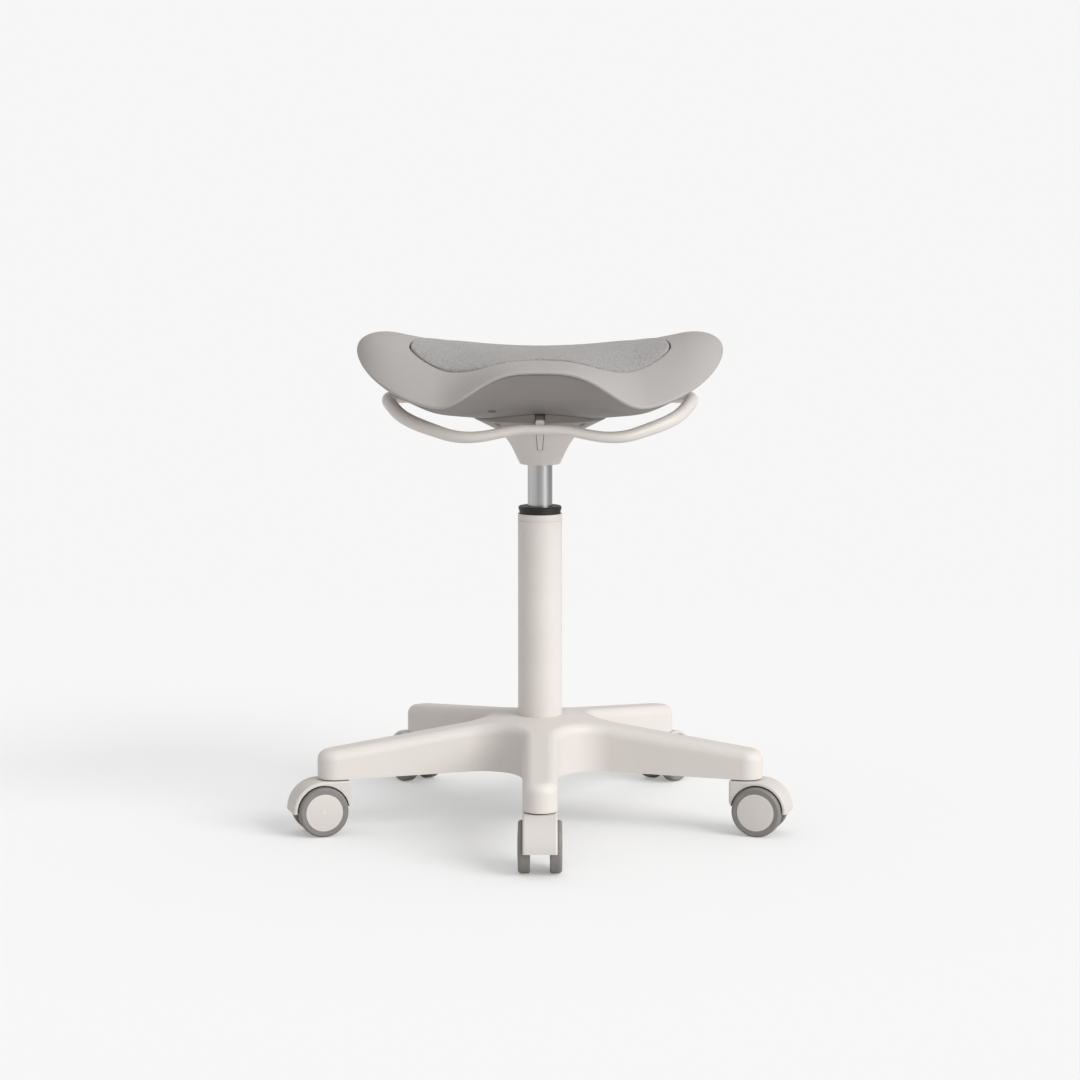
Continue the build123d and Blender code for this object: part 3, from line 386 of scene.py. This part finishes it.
def share(x):
    """How much of its middle depth the plan outline has at x."""
    return (1 - min(abs(x) / SEAT_HALF_WIDTH, 1) ** OUTLINE_POWER) ** (1 / OUTLINE_POWER)


def crest_z(x):
    tip = max(abs(x) - TIP_START, 0) / (SEAT_HALF_WIDTH - TIP_START)
    wing = WING_RISE * (abs(x) / SEAT_HALF_WIDTH) ** WING_POWER
    return SEAT_Z + wing - TIP_DROP * (1 - sqrt(1 - min(tip, 1) ** 2))


def lip_z(x):
    across = min(abs(x) / ARCH_HALF_WIDTH, 1)
    arch = ARCH_HEIGHT * (1 - cos(pi * across ** ARCH_POWER)) / 2
    out = max(abs(x) - ARCH_HALF_WIDTH, 0) / (SEAT_HALF_WIDTH - ARCH_HALF_WIDTH)
    wing = WING_LIP_RISE * (1 - (1 - min(out, 1) ** WING_LIP_OUT_POWER) ** WING_LIP_UP_POWER)
    return SEAT_Z - LIP_DROP - arch + wing


def edge_z(x, forward):
    if forward:
        return lip_z(x)
    return crest_z(x) - REAR_DROP * (1 - (abs(x) / SEAT_HALF_WIDTH) ** 2)


def reach_at(y):
    """Depth of the plan outline in front of or behind the crest line."""
    return SEAT_FRONT_REACH if y < CREST_Y else SEAT_REAR_REACH


def seat_reach(x, y):
    """How far a plan point is from the crest line, 1 at the edge."""
    return min(abs(y - CREST_Y) / max(reach_at(y) * share(x), TINY), 1)


def seat_top(x, y):
    crest = crest_z(x)
    return crest - (crest - edge_z(x, y < CREST_Y)) * seat_reach(x, y) ** 2


def seat_under(x, y):
    """Underside of the shell, thin at the lip and thick under the crest."""
    crest = crest_z(x) - LIP_THICKNESS - (SHELL_THICKNESS - LIP_THICKNESS) * share(x)
    edge = edge_z(x, y < CREST_Y) - LIP_THICKNESS
    return crest - (crest - edge) * seat_reach(x, y) ** 2


def in_pad(x, y):
    """Tells whether a plan point is on the pad: round behind, two lobes with a dent between them in front."""
    across = abs(x) / PAD_HALF_WIDTH
    if across >= 1:
        return False
    dent = PAD_DENT * (1 + cos(pi * min(abs(x) / PAD_DENT_HALF_WIDTH, 1))) / 2
    front = PAD_FRONT * (1 - across ** PAD_FRONT_POWER) ** PAD_FRONT_BLUNT - dent
    rear = PAD_REAR * (1 - across ** PAD_REAR_POWER) ** (1 / PAD_REAR_POWER)
    return -front < y - PAD_WIDEST_Y < rear


def in_seat(x, y):
    across, along = abs(x) / SEAT_HALF_WIDTH, abs(y - CREST_Y) / reach_at(y)
    return across ** OUTLINE_POWER + along ** OUTLINE_POWER < 1


def plan(angle, radius):
    """Plan point at a distance from the pad's centre."""
    return radius * cos(angle), PAD_WIDEST_Y + radius * sin(angle)


def on_seat(angle, radius):
    """Point of the saddle surface at a distance from the pad's centre."""
    x, y = plan(angle, radius)
    return Vector((x, y, seat_top(x, y)))


def last_radius(low, high, holds):
    """The largest radius between two for which a test holds, found by halving."""
    for _ in range(HALVINGS):
        middle = (low + high) / 2
        low, high = (middle, high) if holds(middle) else (low, middle)
    return low


def radius_of(inside, angle):
    """Distance of an outline from the pad's centre."""
    return last_radius(0.0, 2 * SEAT_HALF_WIDTH, lambda r: inside(*plan(angle, r)))


def rim_radius(angle, outer):
    """Where the rounded lip starts, its own radius short of the edge along the surface."""
    edge = on_seat(angle, outer)
    return last_radius(outer - LIP_RADIUS, outer, lambda r: (on_seat(angle, r) - edge).length > LIP_RADIUS)


def add_mesh(name, points, faces, slot):
    """A smooth mesh object with the material of a record slot."""
    mesh = bpy.data.meshes.new(name)
    mesh.from_pydata([tuple(p) for p in points], [], faces)
    mesh.update()
    for face in mesh.polygons:
        face.use_smooth = True
    mesh.materials.append(MATERIALS[slot])
    obj = bpy.data.objects.new(name, mesh)
    bpy.context.scene.collection.objects.link(obj)
    return obj


# Seat shell, as rings of points round the pad's centre

def ring(radii, drop=0.0):
    """Points of the saddle surface, one for each angle, lowered by a drop."""
    return [on_seat(a, r) - Vector((0.0, 0.0, drop)) for a, r in zip(ANGLES, radii)]


def recess_rings(inner):
    """The pad's recess: its floor, its wall and its rounded edge."""
    depth = PAD_THICKNESS + RECESS_GAP
    rings = [ring([r * part for r in inner], depth) for part in RECESS_FLOOR_RINGS]
    rings += [ring(inner, drop) for drop in (depth, PAD_THICKNESS / 2, RECESS_ROUND)]
    for k in range(1, RECESS_ROUND_STEPS + 1):
        turn = k * pi / 2 / RECESS_ROUND_STEPS
        out, drop = RECESS_ROUND * (1 - cos(turn)), RECESS_ROUND * (1 - sin(turn))
        rings.append(ring([r + out for r in inner], drop))
    return rings


def saddle_rings(start, rims):
    """The saddle surface, with rings closer together towards the rim."""
    rings = []
    for k in range(1, SADDLE_STEPS):
        way = sin(k / SADDLE_STEPS * pi / 2)
        rings.append(ring([a + (b - a) * way for a, b in zip(start, rims)]))
    return rings


def lip_rings(before, rim, outer):
    """The rounded lip, from the saddle surface over the edge to the underside."""
    turns = [k * pi / LIP_STEPS for k in range(LIP_STEPS + 1)]
    rings = [[] for _ in turns]
    for i, angle in enumerate(ANGLES):
        along = (rim[(i + 1) % AROUND] - rim[i - 1]).normalized()
        out = rim[i] - before[i]
        out = (out - along * out.dot(along)).normalized()
        up = out.cross(along)
        up = up if up.z > 0 else -up
        reach = max((on_seat(angle, outer[i]) - rim[i]).length - LIP_RADIUS, 0.0)
        for row, turn in zip(rings, turns):
            row.append(rim[i] + out * (reach + LIP_RADIUS * sin(turn)) + up * LIP_RADIUS * (cos(turn) - 1))
    return rings


def underside_rings(edge):
    """The underside, from the lip inwards."""
    rings = []
    for part in UNDERSIDE_RINGS:
        row = []
        for end in edge:
            x, y = end.x * part, PAD_WIDEST_Y + (end.y - PAD_WIDEST_Y) * part
            row.append(Vector((x, y, seat_under(x, y))))
        rings.append(row)
    return rings


def ring_faces(count):
    """Quads between rings of points, from the first ring to the last."""
    faces = []
    for low in range(0, (count - 1) * AROUND, AROUND):
        high = low + AROUND
        for i in range(AROUND):
            j = (i + 1) % AROUND
            faces.append((low + i, high + i, high + j, low + j))
    return faces


def seat_shell():
    """Moulded shell: recess, saddle surface, rounded lip and underside."""
    inner = [radius_of(in_pad, a) + PAD_GROOVE for a in ANGLES]
    outer = [radius_of(in_seat, a) for a in ANGLES]
    rims = [rim_radius(a, r) for a, r in zip(ANGLES, outer)]
    rings = recess_rings(inner) + saddle_rings([r + RECESS_ROUND for r in inner], rims)
    rings += lip_rings(rings[-2], rings[-1], outer)
    rings += underside_rings(rings[-1])
    points = [p for row in rings for p in row]
    faces = ring_faces(len(rings))
    faces.append(tuple(range(AROUND)))
    faces.append(tuple(reversed(range(len(points) - AROUND, len(points)))))
    return add_mesh("saddle_shell", points, faces, "soft_shell")


# Knit pad

def knit_pad():
    """Foam pad under knit: a grid over the pad's plan, a rounded edge and a flat back."""
    points, index = [], {}
    for i in range(PAD_CELLS + 1):
        for j in range(PAD_CELLS + 1):
            a, b = 2 * i / PAD_CELLS - 1, 2 * j / PAD_CELLS - 1
            angle = atan2(b, a)
            x, y = plan(angle, max(abs(a), abs(b)) * (radius_of(in_pad, angle) - PAD_ROUND))
            index[i, j] = len(points)
            points.append(Vector((x, y, seat_top(x, y) + PAD_CROWN)))
    faces = [(index[i, j], index[i + 1, j], index[i + 1, j + 1], index[i, j + 1])
             for i in range(PAD_CELLS) for j in range(PAD_CELLS)]
    rim = [index[i, 0] for i in range(PAD_CELLS)]
    rim += [index[PAD_CELLS, j] for j in range(PAD_CELLS)]
    rim += [index[i, PAD_CELLS] for i in range(PAD_CELLS, 0, -1)]
    rim += [index[0, j] for j in range(PAD_CELLS, 0, -1)]
    rows = [rim]

    def edge_row(inset, drop):
        row = []
        for v in rim:
            angle = atan2(points[v].y - PAD_WIDEST_Y, points[v].x)
            x, y = plan(angle, radius_of(in_pad, angle) - inset)
            row.append(len(points))
            points.append(Vector((x, y, seat_top(x, y) - drop)))
        rows.append(row)
    for k in range(1, PAD_EDGE_STEPS + 1):
        turn = k * pi / 2 / PAD_EDGE_STEPS
        edge_row(PAD_ROUND * (1 - sin(turn)), -PAD_CROWN + PAD_ROUND * (1 - cos(turn)))
    edge_row(0.0, PAD_THICKNESS - PAD_BACK_ROUND)
    edge_row(PAD_BACK_ROUND, PAD_THICKNESS)
    edge_row(PAD_BACK_INSET, PAD_THICKNESS)
    for low, high in zip(rows, rows[1:]):
        for k in range(len(rim)):
            after = (k + 1) % len(rim)
            faces.append((low[k], high[k], high[after], low[after]))
    faces.append(tuple(reversed(rows[-1])))
    pad = add_mesh("knit_pad", points, faces, "knit_pad")
    held = pad.vertex_groups.new(name="held")
    held.add([v for row in rows[PAD_FREE_ROWS:] for v in row], 1.0, "REPLACE")
    return pad


def swell(pad):
    """Lets the cover swell under pressure as cloth, each point by no more than the cap."""
    rest = [v.co.copy() for v in pad.data.vertices]
    cloth = pad.modifiers.new("Cloth", "CLOTH")
    cloth.settings.use_pressure = True
    cloth.settings.uniform_pressure_force = SWELL_PRESSURE
    cloth.settings.vertex_group_mass = "held"
    cloth.settings.effector_weights.gravity = 0.0
    scene = bpy.context.scene
    for number in range(1, SWELL_FRAMES + 1):
        scene.frame_set(number)
    found = pad.evaluated_get(bpy.context.evaluated_depsgraph_get())
    moved = [v.co.copy() for v in found.data.vertices]
    pad.modifiers.remove(cloth)
    scene.frame_set(1)
    for vertex, old, new in zip(pad.data.vertices, rest, moved):
        step = new - old
        if step.length > PAD_SWELL_CAP:
            step *= PAD_SWELL_CAP / step.length
        vertex.co = old + step
    pad.data.update()


shell = seat_shell()
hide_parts("seat_shell")
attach(shell, "seat")
pad = knit_pad()
swell(pad)
finer = pad.modifiers.new("finer", "SUBSURF")
finer.levels = finer.render_levels = 1
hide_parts("seat_pad")
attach(pad, "seat")


# Floor, light and camera

def floor():
    """Pale floor that fades into the backdrop, with thinned shadows. It throws back less than it shows."""
    mesh = bpy.data.meshes.new("floor")
    half = FLOOR_HALF_SIZE
    corners = [(-half, -half, 0), (half, -half, 0), (half, half, 0), (-half, half, 0)]
    mesh.from_pydata(corners, [], [(0, 1, 2, 3)])
    obj = bpy.data.objects.new("floor", mesh)
    bpy.context.scene.collection.objects.link(obj)
    n = Surface("floor")
    n.set("Roughness", 0.9)
    n.set("Specular IOR Level", 0.1)
    seen = n.add("ShaderNodeLightPath").outputs["Is Camera Ray"]
    n.colours(seen, grey(FLOOR_BOUNCE), grey(FLOOR_ALBEDO))
    glow = n.add("ShaderNodeEmission")
    glow.inputs["Color"].default_value = grey(BACKDROP_LEVEL)
    away = n.add("ShaderNodeVectorMath", operation="LENGTH")
    n.link(n.place, away.inputs[0])
    fill = n.map_range(away.outputs["Value"], FLOOR_FADE, (FLOOR_FILL, 1.0), interpolation_type="SMOOTHSTEP")
    shown = n.mix(n.math("MULTIPLY", seen, fill), n.shader.outputs[0], glow.outputs[0])
    n.link(shown, n.tree.nodes["Material Output"].inputs["Surface"])
    mesh.materials.append(n.material)


def key_light():
    lamp = bpy.data.lights.new("key", "SUN")
    lamp.energy = KEY_ENERGY
    lamp.angle = radians(KEY_SPREAD)
    key = bpy.data.objects.new("key", lamp)
    bearing, rise = radians(KEY_BEARING), radians(KEY_ELEVATION)
    towards = Vector((sin(bearing) * cos(rise), -cos(bearing) * cos(rise), sin(rise)))
    key.rotation_euler = towards.to_track_quat("Z", "Y").to_euler()
    bpy.context.scene.collection.objects.link(key)


def panels(n, bearing):
    """Brightness of the studio's panels at a bearing."""
    ramp = n.add("ShaderNodeValToRGB")
    elements = ramp.color_ramp.elements
    while len(elements) < len(PANELS):
        elements.new(0.5)
    for element, (degrees, level) in zip(elements, PANELS):
        element.position = degrees / 360 + 0.5
        element.color = grey(level)
    n.link(n.map_range(bearing, (-pi, pi), (0.0, 1.0)), ramp.inputs["Fac"])
    return ramp.outputs["Color"]


def studio():
    """Room light that fades to the left, a paler backdrop for the camera and panels for reflections."""
    world = bpy.data.worlds.new("studio")
    n = Nodes(world, "Generated")
    path = n.add("ShaderNodeLightPath").outputs
    towards = n.axes()

    def background(colour):
        node = n.add("ShaderNodeBackground")
        if isinstance(colour, tuple):
            node.inputs["Color"].default_value = colour
        else:
            n.link(colour, node.inputs["Color"])
        return node.outputs[0]
    bearing = n.math("ARCTAN2", towards["X"], n.math("MULTIPLY", towards["Y"], -1.0))
    tilted = n.map_range(towards["X"], (-1.0, 1.0), (ROOM_LEVEL - ROOM_TILT, ROOM_LEVEL + ROOM_TILT))
    cooler = BACKDROP_LEVEL * BACKDROP_WARMTH
    backdrop = background((BACKDROP_LEVEL, cooler, cooler, 1.0))
    lit = n.mix(path["Is Glossy Ray"], background(tilted), background(panels(n, bearing)))
    shown = n.mix(path["Is Camera Ray"], lit, backdrop)
    n.link(shown, n.tree.nodes["World Output"].inputs["Surface"])
    bpy.context.scene.world = world


def camera():
    data = bpy.data.cameras.new("camera")
    data.sensor_width = CAMERA_SENSOR
    data.lens = CAMERA_LENS
    obj = bpy.data.objects.new("camera", data)
    obj.location = CAMERA_PLACE
    obj.rotation_euler = (pi / 2 - CAMERA_TILT, 0.0, 0.0)
    bpy.context.scene.collection.objects.link(obj)
    bpy.context.scene.camera = obj


floor()
key_light()
studio()
camera()
bpy.context.scene.view_settings.view_transform = "Standard"

bpy.context.view_layer.update()
